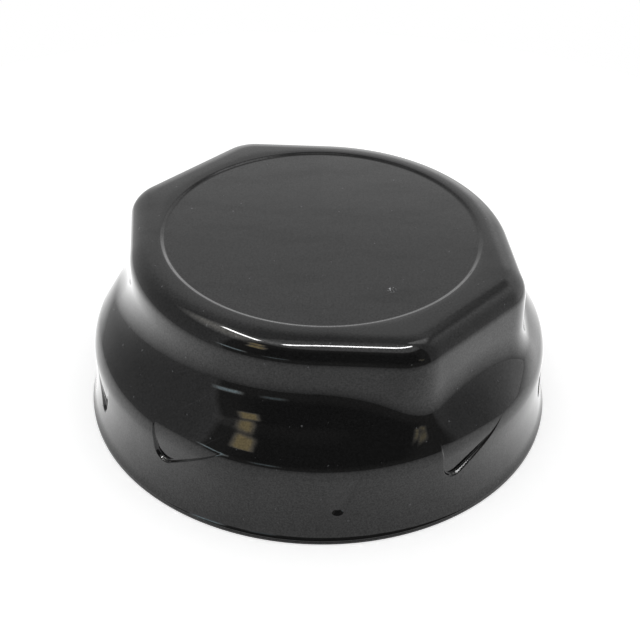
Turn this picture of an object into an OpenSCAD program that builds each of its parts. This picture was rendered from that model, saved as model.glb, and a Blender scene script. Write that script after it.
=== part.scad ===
// Pressed-steel hub grease cap: a thin shell, open below, with a flared skirt,
// a swept shoulder and a round crown that has two opposite wrench flats.
// The origin is the centre of the rim plane, and +Z runs up through the closed end.

/* [Overall] */
// Outside diameter of the straight part of the skirt
skirt_d = 93.2; // [80:0.2:110]
// Height from the rim plane to the land around the top disc
cap_h = 39; // [37:0.5:46]
// Thickness of the sheet
wall = 1.5; // [1:0.1:2]

/* [Rim] */
// How far the rim stands out beyond the skirt
rim_out = 1.4; // [0.8:0.1:3]
// Height of the plain edge at the rim
edge_h = 0.9; // [0.6:0.1:2]
// Height at which the flare towards the rim begins
flare_h = 10.6; // [8:0.2:12]

/* [Shoulder] */
// Height at which the skirt bends in to the shoulder
bend_h = 14.4; // [12.4:0.2:15]
// Radius of the outward bend above the skirt
bend_r = 7.8; // [6.6:0.2:11]
// Length of the straight slope between the bend and the sweep
slope_l = 5; // [3:0.5:6.5]
// Radius of the hollow sweep below the crown
sweep_r = 14; // [11:0.5:16]

/* [Crown] */
// How far the round part of the crown stands in from the skirt
crown_in = 8.4; // [6:0.1:10]
// How far the two wrench flats stand out beyond the round part
flats_out = 1.8; // [1:0.1:3]
// Angle between a wrench flat and the straight face beside it
face_angle = 48.8; // [46:0.1:54]
// Radius of the four upright corners
corner_r = 9.6; // [8:0.2:11]
// Radius of the edge around the top
edge_r = 5; // [3:0.1:5.5]
// Lean of the crown's wall
wall_lean = 2.5; // [1:0.5:4]
// Direction of the right-hand wrench flat, from -Y towards +X
flats_turn = 47.4; // [0:0.1:90]

/* [Top disc] */
// Width of the flat land between the disc and the rounded edge
land_w = 1.2; // [0.5:0.1:8]
// Depth of the sunken disc
disc_drop = 0.4; // [0.2:0.05:1]
// Width of the slope around the disc
disc_slope = 0.9; // [0.5:0.1:2]

/* [Grip dents] */
// Number of large dents, and of small ones
dent_count = 5; // [3:1:5]
// Depth of a dent where its two sides would meet below its rounded tip
dent_depth = 0.8; // [0.5:0.05:1.1]
// Direction of the first large dent's meeting point, from -Y towards +X
large_turn = 31.5; // [0:0.1:72]
// Height of the large dents' meeting point
large_tip_h = 8.4; // [7.6:0.1:9.4]
// Reach of the large dents to the left
large_left = 1.1; // [0.5:0.1:3]
// Rise of the large dents' left corner
large_left_rise = 8.9; // [7:0.1:9.5]
// Reach of the large dents to the right
large_right = 12.8; // [8:0.1:13.5]
// Rise of the large dents' right corner
large_right_rise = 8; // [6.5:0.1:9]
// Radius of the large dents' tip
large_tip_r = 2.4; // [1:0.1:2.6]
// Direction of the first small dent's tip, from -Y towards +X
small_turn = 5; // [0:0.1:72]
// Height of the small dents' meeting point
small_tip_h = 5; // [4.5:0.1:6]
// Width of the small dents between their corners
small_w = 6.5; // [4:0.1:8]
// Rise of the small dents' corners
small_rise = 8; // [6:0.1:8.5]
// Radius of the small dents' tip
small_tip_r = 1.1; // [0.6:0.1:1.4]

/* [Hidden] */
$fn = 180;

// Radii of the skirt, the rim, the flare between them, the round crown and the sunken disc
skirt_r = skirt_d / 2;
rim_r = skirt_r + rim_out;
flare_r = (pow(flare_h - edge_h, 2) + pow(rim_out, 2)) / (2 * rim_out);
round_r = skirt_r - crown_in;
disc_r = round_r - edge_r - land_w;
// Distance from the axis to each wrench flat
flat_r = round_r + flats_out;

// The band below this slope of the outward bend is turned, and the crown stands on it
join_slope = 8;
join_h = bend_h + bend_r * sin(join_slope);
// The crown's tongue goes this far down inside the sheet of the band
tongue_h = 1;
// Clearance of the tongue from each face of the sheet, at its root and at its tip
tongue_root = 0.02;
tongue_tip = wall / 4;

// A dent's sides go on to this many times their length, and its face runs this far out of the sheet
side_length = 1.4;
dent_out = 5;
// Lean of a dent's sides, and how far the sheet's back stands off them, as shares of depth and sheet
dent_lean = 0.12;
dent_cover = 0.8;

// Steps around the crown, and along each curve of its section
around = 120;
edge_steps = 6;
sweep_steps = 6;
bend_steps = 3;
flare_steps = 8;
tip_steps = 4;

// Centre of a corner's rounding, in a frame whose first axis meets the wrench flat
corner_x = flat_r - corner_r;
corner_y = (round_r - corner_r - corner_x * cos(face_angle)) / sin(face_angle);

// Angle from the nearest wrench flat's middle, 0 to 90
function fold(turn) = let (a = abs((turn % 180 + 270) % 180 - 90)) a;

// Distance from the axis to the crown's plan outline, drawn in by inset
function crown_r(turn, inset) =
    let (
        a = fold(turn - flats_turn),
        flat_end = atan2(corner_y, flat_r - inset),
        r = corner_r - inset,
        face_start = atan2(corner_y + r * sin(face_angle), corner_x + r * cos(face_angle)),
        along = corner_x * cos(a) + corner_y * sin(a),
        across = corner_y * cos(a) - corner_x * sin(a)
    )
    a < flat_end ? (flat_r - inset) / cos(a)
    : a < face_start ? along + sqrt(r * r - across * across)
    : a < face_angle ? (round_r - inset) / cos(face_angle - a)
    : round_r - inset;

// Section of the crown in one direction. skin is 0 for the outside and the wall for the inside.
// The shoulder is two arcs with a straight slope between them, as steep as the crown's radius there needs.
function section(turn, skin) =
    let (
        er = edge_r - skin,
        br = bend_r - skin,
        sr = sweep_r + skin,
        top_r = crown_r(turn, edge_r - er * cos(wall_lean)),
        top_h = cap_h - edge_r + er * sin(wall_lean),
        reach = top_r - (skirt_r - bend_r) + sr * cos(wall_lean)
            + (top_h - bend_h + sr * sin(wall_lean)) * tan(wall_lean),
        span = norm([br + sr, slope_l]),
        towards = wall_lean + acos(reach * cos(wall_lean) / span),
        steepest = towards - atan2(slope_l, br + sr),
        sweep_c = skirt_r - bend_r + span * cos(towards),
        sweep_h = bend_h + span * sin(towards),
        start = asin((join_h - bend_h) / br)
    )
    concat(
        [[disc_r - disc_slope, cap_h - disc_drop - skin], [disc_r, cap_h - skin]],
        [for (i = [0:edge_steps])
            let (s = 90 + (wall_lean - 90) * i / edge_steps)
            [crown_r(turn, edge_r - er * cos(s)), cap_h - edge_r + er * sin(s)]],
        [for (i = [0:sweep_steps])
            let (s = wall_lean + (steepest - wall_lean) * i / sweep_steps)
            [sweep_c - sr * cos(s), sweep_h - sr * sin(s)]],
        [for (i = [0:bend_steps])
            let (s = steepest + (start - steepest) * i / bend_steps, root = i == bend_steps ? tongue_root : 0)
            [skirt_r - bend_r + br * cos(s) + (skin == 0 ? -root : root), bend_h + br * sin(s)]],
        [[skirt_r - bend_r + br * cos(start) + (skin == 0 ? -tongue_tip : tongue_tip), join_h - tongue_h]]
    );

// Outside radius of the turned band at a height above the flare
function band_r(h) =
    h <= bend_h ? skirt_r : skirt_r - bend_r + sqrt(bend_r * bend_r - pow(h - bend_h, 2));

// One face of the turned band from the rim up, set in by skin, to the given height of the bend
function band_face(skin, top) =
    let (
        fr = flare_r + skin,
        br = bend_r - skin,
        low = skin == 0 ? edge_h : 0,
        first = asin((flare_h - low) / fr),
        last = asin((top - bend_h) / br)
    )
    concat(
        [for (i = [0:flare_steps])
            let (s = first * (1 - i / flare_steps))
            [skirt_r + flare_r - fr * cos(s), flare_h - fr * sin(s)]],
        [for (i = [0:bend_steps * 2])
            let (s = last * i / (bend_steps * 2))
            [skirt_r - bend_r + br * cos(s), bend_h + br * sin(s)]]
    );

function reversed(list) = [for (i = [len(list) - 1:-1:0]) list[i]];

// Turned band: the plain edge, the flare, the straight skirt and the start of the bend
module band() {
    rotate_extrude()
        polygon(concat([[rim_r, 0]], band_face(0, join_h), reversed(band_face(wall, join_h))));
}

// Crown: two skins of rings, joined along the tongue at the bottom
module crown() {
    sections = [for (skin = [0, wall]) [for (i = [0:around - 1]) section(i * 360 / around, skin)]];
    rings = len(sections[0][0]);
    points = [for (skin = [0, 1]) for (k = [0:rings - 1]) for (i = [0:around - 1])
        let (p = sections[skin][i][k], turn = i * 360 / around)
        [p[0] * sin(turn), -p[0] * cos(turn), p[1]]];
    inner = rings * around;
    last = (rings - 1) * around;
    polyhedron(
        points,
        concat(
            [[for (i = [0:around - 1]) around - 1 - i]],
            [[for (i = [0:around - 1]) inner + i]],
            [for (k = [0:rings - 2]) for (i = [0:around - 1]) for (half = [0, 1])
                let (j = (i + 1) % around, a = k * around + i, b = k * around + j)
                half == 0 ? [a, b, b + around] : [a, b + around, a + around]],
            [for (k = [0:rings - 2]) for (i = [0:around - 1]) for (half = [0, 1])
                let (j = (i + 1) % around, a = inner + k * around + i, b = inner + k * around + j)
                half == 0 ? [a, b + around, b] : [a, a + around, b + around]],
            [for (i = [0:around - 1]) for (half = [0, 1])
                let (j = (i + 1) % around)
                half == 0 ? [last + i, last + j, inner + last + j] : [last + i, inner + last + j, inner + last + i]]
        )
    );
}

// Outline of a dent seen from outside, from its right corner over the left one and round the tip.
// corners holds the meeting point of its sides, its right corner and its left corner.
// The sides run on above the corners, so that the dent's face can run out of the sheet there.
function dent_outline(corners, tip_r) =
    let (
        right = corners[1] - corners[0],
        left = corners[2] - corners[0],
        right_dir = atan2(right[1], right[0]),
        left_dir = atan2(left[1], left[0]),
        middle_dir = (right_dir + left_dir) / 2,
        centre = corners[0] + tip_r / sin(left_dir - middle_dir) * [cos(middle_dir), sin(middle_dir)]
    )
    concat(
        [corners[0] + right * side_length, corners[0] + left * side_length],
        [for (i = [0:tip_steps])
            let (s = left_dir + 90 + (180 - left_dir + right_dir) * i / tip_steps)
            centre + tip_r * [cos(s), sin(s)]]
    );

// Centre and radius of the circle that touches the three sides of a triangle
function inner_circle(p) =
    let (
        a = norm(p[1] - p[2]),
        b = norm(p[2] - p[0]),
        c = norm(p[0] - p[1]),
        area = abs(cross(p[1] - p[0], p[2] - p[0])) / 2
    )
    [(a * p[0] + b * p[1] + c * p[2]) / (a + b + c), 2 * area / (a + b + c)];

// Wedge pressed in by a dent: its flat face stands inside the sheet and its sides run outwards.
// skin sets the face in by that much and moves the sides out by a share of it.
module dent_wedge(corners, tip_r, skin) {
    depths = [
        band_r(corners[0][1]) - dent_depth,
        sqrt(pow(band_r(corners[1][1]), 2) - pow(corners[1][0], 2)),
        sqrt(pow(band_r(corners[2][1]), 2) - pow(corners[2][0], 2))
    ];
    right = corners[1] - corners[0];
    left = corners[2] - corners[0];
    slope = [
        (depths[1] - depths[0]) * left[1] - (depths[2] - depths[0]) * right[1],
        (depths[2] - depths[0]) * right[0] - (depths[1] - depths[0]) * left[0]
    ] / cross(right, left);
    circle = inner_circle(corners);
    middle = circle[0];
    grow = 1 + skin * dent_cover / circle[1];
    outline = [for (p = dent_outline(corners, tip_r)) middle + (p - middle) * grow];
    count = len(outline);
    face = [for (p = outline) [p[0], skin - depths[0] - slope * (p - corners[0]), p[1]]];
    outer = [for (p = face)
        let (q = middle + ([p[0], p[2]] - middle) * (1 + dent_out * dent_lean / circle[1]))
        [q[0], p[1] - dent_out, q[1]]];
    polyhedron(
        concat(face, outer),
        concat(
            [[for (i = [0:count - 1]) i]],
            [[for (i = [0:count - 1]) count * 2 - 1 - i]],
            [for (i = [0:count - 1])
                let (j = (i + 1) % count)
                [i, count + i, count + j, j]]
        )
    );
}

// Both rings of dents
module dents(skin) {
    large = [
        [0, large_tip_h],
        [large_right, large_tip_h + large_right_rise],
        [-large_left, large_tip_h + large_left_rise]
    ];
    small = [
        [0, small_tip_h],
        [small_w / 2, small_tip_h + small_rise],
        [-small_w / 2, small_tip_h + small_rise]
    ];
    for (i = [0:dent_count - 1]) {
        rotate([0, 0, large_turn + i * 360 / dent_count])
            dent_wedge(large, large_tip_r, skin);
        rotate([0, 0, small_turn + i * 360 / dent_count])
            dent_wedge(small, small_tip_r, skin);
    }
}

// Solid inside the outer face of the sheet, which the backs of the dents stay within
module backing() {
    cover = wall / 5;
    top = bend_h + (bend_r - cover) * 0.85;
    rotate_extrude()
        polygon(concat([[0, 0]], band_face(cover, top), [[0, top]]));
}

module grease_cap() {
    color([0.08, 0.08, 0.09])
    difference() {
        union() {
            band();
            crown();
            intersection() {
                dents(wall);
                backing();
            }
        }
        dents(0);
    }
}

grease_cap();
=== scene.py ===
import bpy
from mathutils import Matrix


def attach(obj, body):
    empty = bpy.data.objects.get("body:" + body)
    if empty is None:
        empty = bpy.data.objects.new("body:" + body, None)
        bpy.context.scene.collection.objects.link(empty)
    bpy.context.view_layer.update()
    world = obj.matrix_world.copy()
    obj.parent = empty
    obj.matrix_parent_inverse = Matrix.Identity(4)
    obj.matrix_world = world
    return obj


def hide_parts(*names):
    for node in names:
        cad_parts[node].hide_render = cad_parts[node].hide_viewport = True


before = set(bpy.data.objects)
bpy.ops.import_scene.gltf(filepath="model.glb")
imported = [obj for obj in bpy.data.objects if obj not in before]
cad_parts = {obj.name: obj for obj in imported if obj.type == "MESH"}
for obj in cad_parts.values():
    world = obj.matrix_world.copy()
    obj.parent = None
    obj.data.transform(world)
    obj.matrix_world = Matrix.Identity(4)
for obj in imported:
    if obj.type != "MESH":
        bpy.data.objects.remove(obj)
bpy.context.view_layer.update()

import math

import bpy
import numpy as np
from mathutils import Matrix, Vector

MM = 0.001
NODE = "grease_cap"

# Driving sizes of the pressing, in millimetres and degrees
RIM_R = 48.0
CAP_H = 39.0
WALL = 1.5
SKIRT_R = 46.6
EDGE_H = 0.9
FLARE_H = 10.6
# The last stretch of the flare above the rim, and how much farther out its foot turns
LIP_H = 3.0
LIP_OUT = 0.33
BEND_H = 14.4
BEND_R = 7.8
SLOPE_L = 5.0
# The slope's ends lean this much steeper and flatter than its middle
SLOPE_FULL = math.radians(3.2)
SWEEP_R = 14.0
CROWN_R = 38.2
FLATS_HALF = 40.0
FACE_ANGLE = math.radians(48.8)
CORNER_R = 9.6
TOP_EDGE_R = 5.0
WALL_LEAN = math.radians(2.5)
FLATS_TURN = math.radians(47.4)
DISC_R = 32.0
DISC_DROP = 0.4
DISC_SLOPE = 0.9
CUT_EDGE_R = 0.3
CUT_EDGE_STEPS = 3

# Grip dents of each kind, how deep their tip is pressed, and how much wider they are on the inner face, as a
# share of the wall
DENT_COUNT = 5
DENT_DEPTH = 0.8
DENT_COVER = 0.8
# How much of the skirt's own roundness a dent's face keeps
DENT_FULL = 0.65
# Direction and height of the point where a dent's two sides would meet, its right and left corner from there,
# the radius of its rounded tip, and the width of its sides on the outer and the inner face
DENT_KINDS = (
    dict(turn=31.5, tip_h=8.4, right=(12.8, 8.0), left=(-1.1, 8.9), tip_r=2.4, side=(0.38, 1.3)),
    dict(turn=5.0, tip_h=5.0, right=(3.25, 8.0), left=(-3.25, 8.0), tip_r=1.1, side=(1.1, 1.3)),
)
# Width of the soft crease where a dent's face runs out, on either face of the sheet
DENT_CREASE = (0.4, 0.8)

# Mesh of the outer and the inner face: columns round it, rings along each part of its section, how many
# small cells a cell near a dent's edge is split into each way, and how near that is
COLUMNS = (300, 150)
STEPS = (
    dict(disc=5, slope=8, land=2, edge=14, wall=2, sweep=14, slope_down=5, bend=12, skirt=4, flare=16),
    dict(disc=2, slope=2, land=1, edge=4, wall=1, sweep=5, slope_down=3, bend=8, skirt=3, flare=10),
)
# Parts whose rings lie closer together towards the end, and how much
CLOSER_AT_END = dict(disc=3, flare=1.6)
SPLIT = (8, 3)
FINE_WITHIN = (0.45, 1.0)
# Radius of the innermost ring of the disc, as a share of the disc's
MIDDLE_SHARE = 0.15

FLARE_R = ((FLARE_H - EDGE_H) ** 2 + (RIM_R - SKIRT_R) ** 2) / (2 * (RIM_R - SKIRT_R))
CORNER_X = FLATS_HALF - CORNER_R
CORNER_Y = (CROWN_R - CORNER_R - CORNER_X * math.cos(FACE_ANGLE)) / math.sin(FACE_ANGLE)


def crown_r(turn, inset):
    """Distance from the axis to the crown's plan outline, drawn in by inset."""
    a = np.abs((turn - FLATS_TURN + np.pi / 2) % np.pi - np.pi / 2)
    r = CORNER_R - inset
    flat_end = np.arctan2(CORNER_Y, FLATS_HALF - inset)
    face_start = np.arctan2(CORNER_Y + r * math.sin(FACE_ANGLE), CORNER_X + r * math.cos(FACE_ANGLE))
    along = CORNER_X * np.cos(a) + CORNER_Y * np.sin(a)
    across = CORNER_Y * np.cos(a) - CORNER_X * np.sin(a)
    corner = along + np.sqrt(np.maximum(r * r - across * across, 0))
    return np.where(
        a < flat_end, (FLATS_HALF - inset) / np.cos(a),
        np.where(a < face_start, corner,
                 np.where(a < FACE_ANGLE, (CROWN_R - inset) / np.cos(FACE_ANGLE - a), CROWN_R - inset)))


def smooth_max(a, b, k):
    """The larger of two values, rounded where they are less than k apart."""
    h = np.maximum(k - np.abs(a - b), 0) / k
    return np.maximum(a, b) + h * h * k / 4


def skin_rings(turns, skin, steps, split):
    """Radius and height of one face of the sheet, by ring from the top's middle to the rim and by direction."""
    # Radii of the top edge, bend, sweep and flare on this face
    er, br, sr, fr = TOP_EDGE_R - skin, BEND_R - skin, SWEEP_R + skin, FLARE_R + skin
    flat = np.ones_like(turns)
    rings = []

    def stretch(part, point):
        """Adds a part's rings; point gives radius and height from 0 at the part's start to 1 at its end."""
        shares = np.linspace(0, 1, steps[part] * split + 1)
        if part in CLOSER_AT_END:
            shares = 1 - (1 - shares) ** CLOSER_AT_END[part]
        for share in shares if not rings else shares[1:]:
            r, h = point(share)
            rings.append((flat * r, flat * h))

    slope_r = DISC_R - DISC_SLOPE
    stretch("disc", lambda t: (slope_r * (MIDDLE_SHARE + (1 - MIDDLE_SHARE) * t), CAP_H - DISC_DROP - skin))
    stretch("slope", lambda t: (slope_r + DISC_SLOPE * t,
                                CAP_H - skin - DISC_DROP * (1 + math.cos(math.pi * t)) / 2))
    land_end = crown_r(turns, TOP_EDGE_R)
    stretch("land", lambda t: (DISC_R + (land_end - DISC_R) * t, CAP_H - skin))

    def edge_point(t):
        s = math.pi / 2 + (WALL_LEAN - math.pi / 2) * t
        return crown_r(turns, TOP_EDGE_R - er * math.cos(s)), CAP_H - TOP_EDGE_R + er * math.sin(s)

    stretch("edge", edge_point)
    top_r, top_h = edge_point(1)
    # Between the bend's centre and the sweep's lie both radii and, across them, the straight slope
    reach = (top_r - (SKIRT_R - BEND_R) + sr * math.cos(WALL_LEAN)
             + (top_h - BEND_H + sr * math.sin(WALL_LEAN)) * math.tan(WALL_LEAN))
    span = math.hypot(br + sr, SLOPE_L)
    towards = WALL_LEAN + np.arccos(reach * math.cos(WALL_LEAN) / span)
    steepest = towards - math.atan2(SLOPE_L, br + sr)
    sweep_c = SKIRT_R - BEND_R + span * np.cos(towards)
    sweep_h = BEND_H + span * np.sin(towards)

    def sweep_point(t):
        s = WALL_LEAN + (steepest + SLOPE_FULL - WALL_LEAN) * t
        return sweep_c - sr * np.cos(s), sweep_h - sr * np.sin(s)

    wall_r, wall_h = sweep_point(0)
    stretch("wall", lambda t: (top_r + (wall_r - top_r) * t, top_h + (wall_h - top_h) * t))

    def bend_point(t):
        s = (steepest - SLOPE_FULL) * (1 - t)
        return SKIRT_R - BEND_R + br * np.cos(s), BEND_H + br * np.sin(s)

    def flare_point(t):
        # The flare turns out a little more in its last stretch above the rim
        h = FLARE_H + ((EDGE_H if skin == 0 else CUT_EDGE_R) - FLARE_H) * t
        lip = min(max((LIP_H - h) / (LIP_H - EDGE_H), 0), 1) ** 2
        arc = FLARE_R - math.sqrt(fr * fr - (FLARE_H - h) ** 2) + skin
        return SKIRT_R - skin + arc * (1 - LIP_OUT / (RIM_R - SKIRT_R)) + LIP_OUT * lip, h

    stretch("sweep", sweep_point)
    (high_r, high_h), (foot_r, foot_h) = sweep_point(1), bend_point(0)

    def slope_point(t):
        # The slope is slightly full, so it turns a little on its way down
        full = 4 * t * (1 - t) * np.hypot(foot_r - high_r, foot_h - high_h) * math.tan(SLOPE_FULL / 2) / 2
        out = np.arctan2(foot_r - high_r, high_h - foot_h)
        r = high_r + (foot_r - high_r) * t + full * np.cos(out)
        h = high_h + (foot_h - high_h) * t + full * np.sin(out)
        return r, h

    stretch("slope_down", slope_point)
    stretch("bend", bend_point)
    stretch("skirt", lambda t: (SKIRT_R - skin, BEND_H + (FLARE_H - BEND_H) * t))
    stretch("flare", flare_point)
    return np.array(rings)


def band_r(h):
    """Outside radius of the skirt and the bend above it."""
    return SKIRT_R if h <= BEND_H else SKIRT_R - BEND_R + math.sqrt(BEND_R ** 2 - (h - BEND_H) ** 2)


def dent_floor(kind):
    """The pressed and the flush plane through a dent's corners, as value at its meeting point and slopes."""
    corners = [(0.0, 0.0), kind["right"], kind["left"]]
    depths = [math.sqrt(band_r(kind["tip_h"] + h) ** 2 - u * u) for u, h in corners]
    planes = []
    for tip in (depths[0] - DENT_DEPTH, depths[0]):
        planes.append((tip, *np.linalg.solve(np.array(corners[1:]), np.array(depths[1:]) - tip)))
    return planes


def outline_distance(u, h, kind):
    """How far a point lies outside a dent's outline, negative inside it."""
    right = np.array(kind["right"]) / math.hypot(*kind["right"])
    left = np.array(kind["left"]) / math.hypot(*kind["left"])
    sides = np.maximum(u * right[1] - h * right[0], h * left[0] - u * left[1])
    middle = (right + left) / np.linalg.norm(right + left)
    centre = middle * kind["tip_r"] / abs(middle[0] * right[1] - middle[1] * right[0])
    du, dh = u - centre[0], h - centre[1]
    below = (du * right[0] + dh * right[1] < 0) & (du * left[0] + dh * left[1] < 0)
    return np.where(below, np.hypot(du, dh) - kind["tip_r"], sides)


def press_dents(turns, rings, inner):
    """Points of one face after the dents are pressed in, and how near each is to a dent's edge."""
    radius, height = rings[:, 0], rings[:, 1]
    x, y = radius * np.sin(turns), -radius * np.cos(turns)
    edge = np.full(x.shape, np.inf)
    skin = WALL if inner else 0
    for kind in DENT_KINDS:
        planes = dent_floor(kind)
        side = kind["side"][inner]
        for n in range(DENT_COUNT):
            at = math.radians(kind["turn"] + n * 360 / DENT_COUNT)
            ca, sa = math.cos(at), math.sin(at)
            # The points on this side of the skirt, as high as a dent can reach
            near = (x * sa - y * ca > SKIRT_R / 2) & (abs(x * ca + y * sa) < SKIRT_R / 2)
            near &= (height > FLARE_H / 4) & (height < BEND_H + BEND_R)
            u, w = (x * ca + y * sa)[near], (x * sa - y * ca)[near]
            h = height[near] - kind["tip_h"]
            outside = outline_distance(u, h, kind) - DENT_COVER * skin
            pressed, flush = (tip + along * u + up * h - skin for tip, along, up in planes)
            depth = w - pressed - DENT_FULL * (w - flush)
            share = np.clip(0.5 - outside / side, 0, 1)
            w = w - smooth_max(depth, 0, DENT_CREASE[inner]) * share * share * (3 - 2 * share)
            x[near], y[near] = u * ca + w * sa, u * sa - w * ca
            to_edge = np.where(depth > -DENT_CREASE[inner], abs(outside), np.inf)
            edge[near] = np.minimum(edge[near], to_edge)
    return np.stack([x, y, height], -1), edge


class CapMesh:
    """Points and faces of the closed pressing, collected one grid at a time."""

    def __init__(self):
        self.points = []
        self.faces = []
        self.count = 0

    def add_points(self, points):
        """Adds points and returns their numbers."""
        self.points.append(points)
        self.count += len(points)
        return np.arange(self.count - len(points), self.count)

    def add_grid(self, points, fine, split, flip):
        """Adds a grid closed round its columns. Cells marked fine keep all their split x split small cells.

        Returns the point numbers of its first and last ring, at the coarse columns.
        """
        rows, cols = fine.shape
        small = np.repeat(np.repeat(fine, split, 0), split, 1)
        used = np.zeros(points.shape[:2], bool)
        used[::split, ::split] = True
        for i, j in ((0, 0), (1, 0), (0, 1), (1, 1)):
            used[i:rows * split + i] |= np.roll(small, j, 1)
        number = np.full(used.shape, -1)
        number[used] = self.add_points(points[used])
        number = np.concatenate([number, number[:, :1]], 1)
        row, col = np.nonzero(small)
        quads = [number[row, col], number[row + 1, col], number[row + 1, col + 1], number[row, col + 1]]
        faces = [tuple(q) for q in np.stack(quads, 1).tolist()]
        for r in range(rows):
            for c in range(cols):
                if fine[r, c]:
                    continue
                r0, r1, c0, c1 = r * split, (r + 1) * split, c * split, (c + 1) * split
                ring = list(number[r0:r1, c0]) + list(number[r1, c0:c1])
                ring += list(number[r1:r0:-1, c1]) + list(number[r0, c1:c0:-1])
                faces.append(tuple(int(i) for i in ring if i >= 0))
        self.faces += [f[::-1] for f in faces] if flip else faces
        return number[0, :-1:split], number[-1, :-1:split]

    def add_middle(self, ring, point, flip):
        """Closes a ring with triangles that meet in a point."""
        centre = int(self.add_points(np.array([point]))[0])
        for a, b in zip(ring.tolist(), np.roll(ring, -1).tolist()):
            self.faces.append((centre, b, a) if flip else (centre, a, b))

    def add_seam(self, outer, inner):
        """Joins two rings, the outer with a whole number of times as many points as the inner."""
        times = len(outer) // len(inner)
        outer, inner = outer.tolist(), inner.tolist()
        for i in range(len(inner)):
            arc = [outer[(i * times + k) % len(outer)] for k in range(times + 1)]
            self.faces.append((inner[i], inner[(i + 1) % len(inner)], *arc[::-1]))


def cut_edge_rings(turns):
    """Rings round the edge of the sheet at the rim, from the flare's foot to the rim plane."""
    corner = np.linspace(0, math.pi / 2, CUT_EDGE_STEPS + 1)
    radius = RIM_R - CUT_EDGE_R * (1 - np.cos(corner))
    drop = CUT_EDGE_R * (1 - np.sin(corner))
    # The upper corner starts at the flare's own last ring, which is left out here
    section = list(zip(radius, EDGE_H - drop))[-2::-1] + list(zip(radius, drop))
    return np.array([(np.full_like(turns, r), np.full_like(turns, h)) for r, h in section])


def build_cap():
    """The whole pressing as one closed mesh: outer face, inner face and the cut edge between them."""
    mesh = CapMesh()
    ends = []
    for inner in (0, 1):
        columns, split, steps = COLUMNS[inner], SPLIT[inner], STEPS[inner]
        turns = np.linspace(0, 2 * math.pi, columns * split, endpoint=False)
        rings = skin_rings(turns, WALL * inner, steps, split)
        points, edge = press_dents(turns, rings, inner)
        rows = len(rings) // split
        cells = edge[:rows * split].reshape(rows, split, columns, split).min((1, 3))
        top, foot = mesh.add_grid(points * MM, cells < FINE_WITHIN[inner], split, bool(inner))
        mesh.add_middle(top, (0, 0, (CAP_H - DISC_DROP - WALL * inner) * MM), bool(inner))
        ends.append(foot)
    turns = np.linspace(0, 2 * math.pi, COLUMNS[0], endpoint=False)
    above = ends[0]
    for r, h in cut_edge_rings(turns):
        ring = mesh.add_points(np.stack([r * np.sin(turns), -r * np.cos(turns), h], -1) * MM)
        mesh.add_seam(above, ring)
        above = ring
    mesh.add_seam(above, ends[1])
    data = bpy.data.meshes.new("cap_shell")
    data.from_pydata(np.concatenate(mesh.points).tolist(), [], mesh.faces)
    data.validate()
    data.shade_smooth()
    cap = bpy.data.objects.new("cap_shell", data)
    bpy.context.scene.collection.objects.link(cap)
    return cap


def new_material(name):
    """An empty material and its node tree."""
    material = bpy.data.materials.new(name)
    material.use_nodes = True
    tree = material.node_tree
    tree.nodes.clear()
    return material, tree


def feed(tree, socket, value):
    """Links a socket to the given one, or sets it to the given constant."""
    if isinstance(value, bpy.types.NodeSocket):
        tree.links.new(value, socket)
    else:
        socket.default_value = value


def add(tree, kind, **inputs):
    """A new node with its named sockets fed; an underscore in a name stands for a space."""
    node = tree.nodes.new(kind)
    for key, value in inputs.items():
        feed(tree, node.inputs[key.replace("_", " ")], value)
    return node


def math_node(tree, operation, *values, clamp=False):
    """The result of a math node on sockets or constants."""
    node = tree.nodes.new("ShaderNodeMath")
    node.operation = operation
    node.use_clamp = clamp
    for socket, value in zip(node.inputs, values):
        feed(tree, socket, value)
    return node.outputs[0]


def vector_node(tree, operation, *vectors):
    """A vector math node on sockets or constants."""
    node = tree.nodes.new("ShaderNodeVectorMath")
    node.operation = operation
    for socket, vector in zip(node.inputs, vectors):
        feed(tree, socket, vector)
    return node


def ramp(tree, value, low, high, start, end):
    """A value taken in a straight line from start at low to end at high, and held beyond them."""
    node = add(tree, "ShaderNodeMapRange", Value=value, From_Min=low, From_Max=high, To_Min=start, To_Max=end)
    return node.outputs["Result"]


def inside(tree, value, low, high, soft):
    """1 between low and high, with soft borders."""
    up = math_node(tree, "MULTIPLY_ADD", value, 1 / soft, 0.5 - low / soft, clamp=True)
    down = math_node(tree, "MULTIPLY_ADD", value, -1 / soft, 0.5 + high / soft, clamp=True)
    return math_node(tree, "MULTIPLY", up, down)


def blended(tree, kind, mask, below, above):
    """The value below where the mask is 0 and the one above where it is 1; each a socket or a constant."""
    mix = tree.nodes.new("ShaderNodeMix")
    mix.data_type = kind
    tree.links.new(mask, mix.inputs["Factor"])
    sockets = [s for s in mix.inputs if s.enabled and s.name in ("A", "B")]
    for socket, value in zip(sockets, (below, above)):
        feed(tree, socket, value)
    return [s for s in mix.outputs if s.enabled][0]


def mixed(tree, share, first, second):
    """The first shader where the share is 0 and the second where it is 1; None stands for black."""
    node = tree.nodes.new("ShaderNodeMixShader")
    for socket, value in zip(node.inputs, (share, first, second)):
        if value:
            tree.links.new(value, socket)
    return node.outputs[0]


def seen_rays(tree):
    """1 for rays from the camera or by way of a mirror-like surface or glass, and 0 for soft light."""
    path = add(tree, "ShaderNodeLightPath")
    rays = math_node(tree, "MAXIMUM", path.outputs["Is Camera Ray"], path.outputs["Is Glossy Ray"])
    return math_node(tree, "MAXIMUM", rays, path.outputs["Is Transmission Ray"])


# Enamel: its grey and tint, its refraction, its orange peel, and the place and size of a chip in the paint of
# the top, which is whole within a share of its radius
PAINT_LEVEL = 0.003
PAINT_TINT = (0.98, 1.0, 1.04)
PAINT_IOR = 1.5
PEEL = dict(scale=260.0, detail=2.0, strength=0.05, height=0.0002)
CHIP_AT = (0.0134, -0.0193, 0.0386)
CHIP_R = 0.0009
CHIP_WHOLE = 0.7
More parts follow.
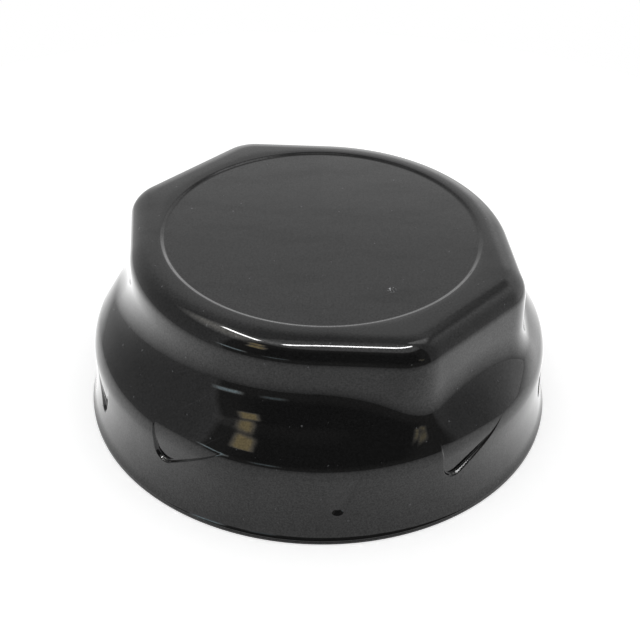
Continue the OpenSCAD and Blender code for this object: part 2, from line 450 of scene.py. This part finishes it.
# Uneven things: the scale and detail of their noise, its range that counts, and what they are at its two ends
FILM = dict(scale=2600.0, detail=1.0, between=(0.35, 0.7), ends=(0.0, 0.003))
SPECKS = dict(scale=1300.0, detail=0.0, between=(0.83, 0.88), ends=(0.0, 0.07))
HAIRLINES = dict(stretch=(60.0, 2600.0, 60.0), turn=-12, scale=1.0, detail=1.0,
                 between=(0.76, 0.80), ends=(0.0, 0.008))
FLECKS = dict(scale=2200.0, detail=0.0, between=(0.5, 0.6), ends=(0.0, 0.55))
ROUGHNESS = dict(scale=70.0, detail=4.0, between=(0.35, 0.75), ends=(0.03, 0.075))
GRAIN = dict(scale=3000.0, detail=2.0, between=(0.3, 0.7), ends=(0.37, 0.63))
SMEARS = dict(stretch=(60.0, 190.0, 120.0), turn=0, scale=1.0, detail=3.0,
              between=(0.5, 0.75), ends=(1.03, 0.86))


def enamel():
    """Gloss black enamel: faint orange peel, a thin uneven film of dust, specks and hairline scratches."""
    material, tree = new_material("black_enamel")
    place = add(tree, "ShaderNodeTexCoord").outputs["Object"]

    def noise(scale, detail, vector=place):
        return add(tree, "ShaderNodeTexNoise", Scale=scale, Detail=detail, Vector=vector).outputs["Fac"]

    def uneven(kind):
        """Noise that varies as one of the uneven things above does."""
        vector = place
        if "stretch" in kind:
            turned = (0.0, 0.0, math.radians(kind["turn"]))
            mapping = add(tree, "ShaderNodeMapping", Vector=place, Scale=kind["stretch"], Rotation=turned)
            vector = mapping.outputs["Vector"]
        return ramp(tree, noise(kind["scale"], kind["detail"], vector), *kind["between"], *kind["ends"])

    peel = add(tree, "ShaderNodeBump", Strength=PEEL["strength"], Distance=PEEL["height"],
               Height=noise(PEEL["scale"], PEEL["detail"]))

    # The grey of the paint with its dust, and specks of bare metal in the chip
    dusty = math_node(tree, "ADD", math_node(tree, "ADD", uneven(FILM), uneven(SPECKS)),
                      math_node(tree, "ADD", uneven(HAIRLINES), PAINT_LEVEL))
    to_chip = vector_node(tree, "DISTANCE", place, CHIP_AT).outputs["Value"]
    chip = ramp(tree, to_chip, CHIP_R * CHIP_WHOLE, CHIP_R, 1.0, 0.0)
    level = math_node(tree, "ADD", dusty, math_node(tree, "MULTIPLY", chip, uneven(FLECKS)))
    red, green, blue = (math_node(tree, "MULTIPLY", level, tint) for tint in PAINT_TINT)
    grey = add(tree, "ShaderNodeCombineColor", Red=red, Green=green, Blue=blue)

    # Uneven gloss: a fine grain, and wider dull smears that run from side to side
    gloss = math_node(tree, "MULTIPLY", uneven(GRAIN), uneven(SMEARS))
    paint = add(tree, "ShaderNodeBsdfPrincipled", Base_Color=grey.outputs["Color"], IOR=PAINT_IOR,
                Roughness=uneven(ROUGHNESS), Specular_IOR_Level=gloss, Normal=peel.outputs["Normal"])
    add(tree, "ShaderNodeOutputMaterial", Surface=paint.outputs["BSDF"])
    return material


# Camera: its distance and aim are in rim radii, and aim and roll put the cap where the photograph has it
CAMERA_DISTANCE = 6.0
CAMERA_RISE = math.radians(39.13)
CAMERA_AIM = (0.0014, 0.0, 0.3533)
CAMERA_ROLL = math.radians(1.241)
FOCAL_PIXELS = 1331.5
FRAME_PIXELS = 640
SENSOR_MM = 36.0


def place_camera():
    """Camera that shows the cap as the photograph does."""
    unit = RIM_R * MM
    eye = Vector((0, -math.cos(CAMERA_RISE), math.sin(CAMERA_RISE))) * CAMERA_DISTANCE * unit
    ahead = (Vector(CAMERA_AIM) * unit - eye).normalized()
    right = ahead.cross(Vector((0, 0, 1))).normalized()
    up = right.cross(ahead)
    cr, sr = math.cos(CAMERA_ROLL), math.sin(CAMERA_ROLL)
    x = right * cr + up * sr
    y = up * cr - right * sr
    turn = Matrix((x, y, -ahead)).transposed()
    data = bpy.data.cameras.new("view")
    data.sensor_width = SENSOR_MM
    data.lens = FOCAL_PIXELS / FRAME_PIXELS * SENSOR_MM
    camera = bpy.data.objects.new("view", data)
    camera.matrix_world = Matrix.Translation(eye) @ turn.to_4x4()
    bpy.context.scene.collection.objects.link(camera)
    bpy.context.scene.camera = camera


TABLE_R = 0.18
TABLE_SIDES = 96
TABLE_COLOUR = (0.86, 0.86, 0.86, 1)
# Glow of the table top: straight from the camera it makes the top evenly white, and as the enamel mirrors it,
# it is painted light that brightens from the camera's side towards the back
TABLE_GLOW_SEEN = 0.5
TABLE_PAINTED_LIGHT_MIRRORED = (0.3, 1.7)
# Distances from the middle between which the mirrored glow sinks to a share of itself, and the mirrored top as
# a whole: painted shade towards the table's edge
PAINTED_GLOW_FADE = (0.06, 0.10, 0.75)
MIRRORED_TABLE_SHADE = (0.095, 0.18, 0.42)


def white_table():
    """White for the camera; for the mirroring enamel, painted light that brightens towards the back and painted
    shade towards the edge; for soft light only a plain pale surface.
    """
    material, tree = new_material("white_table")
    place = add(tree, "ShaderNodeTexCoord").outputs["Object"]
    camera_ray = add(tree, "ShaderNodeLightPath").outputs["Is Camera Ray"]
    towards = add(tree, "ShaderNodeSeparateXYZ", Vector=vector_node(tree, "NORMALIZE", place).outputs["Vector"])
    far = vector_node(tree, "LENGTH", place).outputs["Value"]

    def faded(near_r, far_r, end):
        return ramp(tree, far, near_r, far_r, 1.0, end)

    # Painted light for mirroring rays: the glow rises towards the back and sinks farther from the middle
    mirrored = math_node(tree, "MULTIPLY", ramp(tree, towards.outputs["Y"], -1.0, 1.0, *TABLE_PAINTED_LIGHT_MIRRORED),
                         faded(*PAINTED_GLOW_FADE))
    strength = blended(tree, "FLOAT", camera_ray, mirrored, TABLE_GLOW_SEEN)
    plain = add(tree, "ShaderNodeBsdfDiffuse", Color=TABLE_COLOUR).outputs[0]
    glow = add(tree, "ShaderNodeEmission", Color=(*WHITE, 1), Strength=strength).outputs[0]
    both = tree.nodes.new("ShaderNodeAddShader")
    tree.links.new(plain, both.inputs[0])
    tree.links.new(glow, both.inputs[1])
    # Painted shade for mirroring rays: the whole top dims towards its edge, while the camera sees it evenly
    # white
    kept = math_node(tree, "MAXIMUM", faded(*MIRRORED_TABLE_SHADE), camera_ray)
    seen = mixed(tree, kept, None, both.outputs[0])
    add(tree, "ShaderNodeOutputMaterial", Surface=mixed(tree, seen_rays(tree), plain, seen))
    return material


def build_floor():
    """Small white table top that the cap stands on; past its edge the enamel mirrors the room."""
    turns = [2 * math.pi * i / TABLE_SIDES for i in range(TABLE_SIDES)]
    mesh = bpy.data.meshes.new("table_top")
    mesh.from_pydata([(TABLE_R * math.cos(a), TABLE_R * math.sin(a), 0) for a in turns], [],
                     [tuple(range(TABLE_SIDES))])
    mesh.materials.append(white_table())
    floor = bpy.data.objects.new("table_top", mesh)
    bpy.context.scene.collection.objects.link(floor)


WHITE = (1.0, 1.0, 1.0)
CREAM = (1.0, 0.97, 0.9)
DIM = (1.0, 0.98, 0.95)
WARM = (1.0, 0.8, 0.42)
PALE_WARM = (1.0, 0.88, 0.58)
BLUISH = (0.72, 0.92, 1.0)
# Strength of the mirrored room where no patch lies, of the soft light on everything, and of what the camera
# sees past the table
ROOM_LEVEL = 0.88
SOFT_LIGHT = 0.75
BACKDROP_LEVEL = 1.0
# What the gloss shows round the cap, by side angle from the camera's side towards the right and by rise
# above the table: ranges and width of the borders in degrees, strength and colour. Later ones lie on top.
ROOM_PATCHES = dict(
    ceiling=dict(side=(-200, 200), rise=(60, 100), soft=(8, 28), strength=0.5, colour=WHITE),
    back_window_right=dict(side=(158, 230), rise=(-2, 26), soft=(14, 14), strength=1.9, colour=WHITE),
    back_window_left=dict(side=(-230, -166), rise=(-2, 26), soft=(14, 14), strength=1.7, colour=WHITE),
    back_right=dict(side=(102, 150), rise=(-30, 39), soft=(16, 8), strength=1.15, colour=WHITE),
    back_right_top=dict(side=(92, 150), rise=(42, 50), soft=(14, 6), strength=0.5, colour=WHITE),
    right_lamp=dict(side=(88, 120), rise=(52, 78), soft=(10, 5), strength=1.8, colour=WHITE),
    left_side=dict(side=(-128, -40), rise=(-30, 62), soft=(46, 12), strength=0.45, colour=WHITE),
    right_side=dict(side=(50, 92), rise=(-30, 60), soft=(20, 8), strength=0.44, colour=WHITE),
    front_ceiling=dict(side=(-58, 62), rise=(50, 85), soft=(14, 14), strength=1.1, colour=WHITE),
    dark_room=dict(side=(-53, 65), rise=(-30, 50), soft=(4, 4), strength=0.17, colour=DIM),
    dark_middle=dict(side=(-37, 45), rise=(2, 41), soft=(18, 10), strength=0.08, colour=DIM),
    left_glow=dict(side=(-100, -47), rise=(43, 58), soft=(14, 18), strength=2.5, colour=CREAM),
    lamp_link=dict(side=(-52, -28), rise=(56, 65), soft=(8, 5), strength=2.2, colour=WHITE),
    window_top=dict(side=(-41.5, -31.5), rise=(26, 34.6), soft=(3.5, 2.4), strength=2.4, colour=WARM),
    window_foot=dict(side=(-43.5, -35), rise=(36.4, 43), soft=(4, 2.4), strength=2.4, colour=WARM),
    right_window_near=dict(side=(40.5, 44.5), rise=(9, 12.5), soft=(3, 3), strength=1.3, colour=PALE_WARM),
    right_window_far=dict(side=(44.5, 51), rise=(5.5, 9.5), soft=(3, 3), strength=1.3, colour=PALE_WARM),
    sill=dict(side=(-54.5, -40.5), rise=(-1.5, 2.5), soft=(5, 2), strength=3.0, colour=BLUISH),
    sill_end=dict(side=(-28.5, -17), rise=(-1.5, 1.5), soft=(5, 2), strength=1.1, colour=BLUISH),
)
# Long lamps on the ceiling: the ends of each, its width and the width of its soft border, as tangents of the
# angle from straight up, first towards the right and then towards the camera's side
LAMPS = dict(
    left=dict(ends=((-0.62, 0.04), (-0.49, 0.45)), width=0.06, soft=0.04, strength=45.0),
    front=dict(ends=((-0.28, 0.52), (0.35, 0.19)), width=0.06, soft=0.04, strength=45.0),
)
# Rises between which the tangents hold, and the width of this range's borders
LAMP_RISE = (20, 95, 1)


def lamp_mask(tree, right, front, lamp):
    """1 on a long lamp, seen at the given tangents from straight up."""
    (r0, f0), (r1, f1) = lamp["ends"]
    length = math.hypot(r1 - r0, f1 - f0)
    tr, tf = (r1 - r0) / length, (f1 - f0) / length

    def measured(a, b):
        scaled = math_node(tree, "MULTIPLY", math_node(tree, "SUBTRACT", front, f0), b)
        return math_node(tree, "MULTIPLY_ADD", math_node(tree, "SUBTRACT", right, r0), a, scaled)

    half = lamp["width"] / 2
    along = inside(tree, measured(tr, tf), 0, length, lamp["soft"])
    across = inside(tree, measured(-tf, tr), -half, half, lamp["soft"])
    return math_node(tree, "MULTIPLY", along, across)


def mirrored_room(tree):
    """Strength and colour of the room in the direction that is mirrored."""
    place = add(tree, "ShaderNodeTexCoord")
    x, y, z = add(tree, "ShaderNodeSeparateXYZ", Vector=place.outputs["Generated"]).outputs
    back = math_node(tree, "MULTIPLY", y, -1.0)
    side = math_node(tree, "MULTIPLY", math_node(tree, "ARCTAN2", x, back), math.degrees(1))
    rise = math_node(tree, "MULTIPLY", math_node(tree, "ARCSINE", z), math.degrees(1))
    level, colour = ROOM_LEVEL, (*WHITE, 1)
    for patch in ROOM_PATCHES.values():
        mask = math_node(
            tree, "MULTIPLY",
            inside(tree, side, *patch["side"], patch["soft"][0]),
            inside(tree, rise, *patch["rise"], patch["soft"][1]))
        level = blended(tree, "FLOAT", mask, level, patch["strength"])
        colour = blended(tree, "RGBA", mask, colour, (*patch["colour"], 1))
    above = inside(tree, rise, *LAMP_RISE)
    right, front = math_node(tree, "DIVIDE", x, z), math_node(tree, "DIVIDE", back, z)
    for lamp in LAMPS.values():
        mask = math_node(tree, "MULTIPLY", above, lamp_mask(tree, right, front, lamp))
        level = blended(tree, "FLOAT", mask, level, lamp["strength"])
        colour = blended(tree, "RGBA", mask, colour, (*WHITE, 1))
    return level, colour


def build_room():
    """Pale surroundings with a dark room on the camera's side, lamps above it and small windows in it."""
    world = bpy.data.worlds.new("pale_room")
    bpy.context.scene.world = world
    world.use_nodes = True
    tree = world.node_tree
    tree.nodes.clear()

    def background(level, colour=(*WHITE, 1)):
        return add(tree, "ShaderNodeBackground", Strength=level, Color=colour).outputs[0]

    path = add(tree, "ShaderNodeLightPath").outputs
    mirrored = math_node(tree, "MAXIMUM", path["Is Glossy Ray"], path["Is Transmission Ray"])
    lit = mixed(tree, mirrored, background(SOFT_LIGHT), background(*mirrored_room(tree)))
    whole = mixed(tree, path["Is Camera Ray"], lit, background(BACKDROP_LEVEL))
    add(tree, "ShaderNodeOutputWorld", Surface=whole)


place_camera()
build_floor()
build_room()

cap = build_cap()
cap.data.materials.append(enamel())
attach(cap, "root")
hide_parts(NODE)

bpy.context.scene.view_settings.view_transform = "Standard"
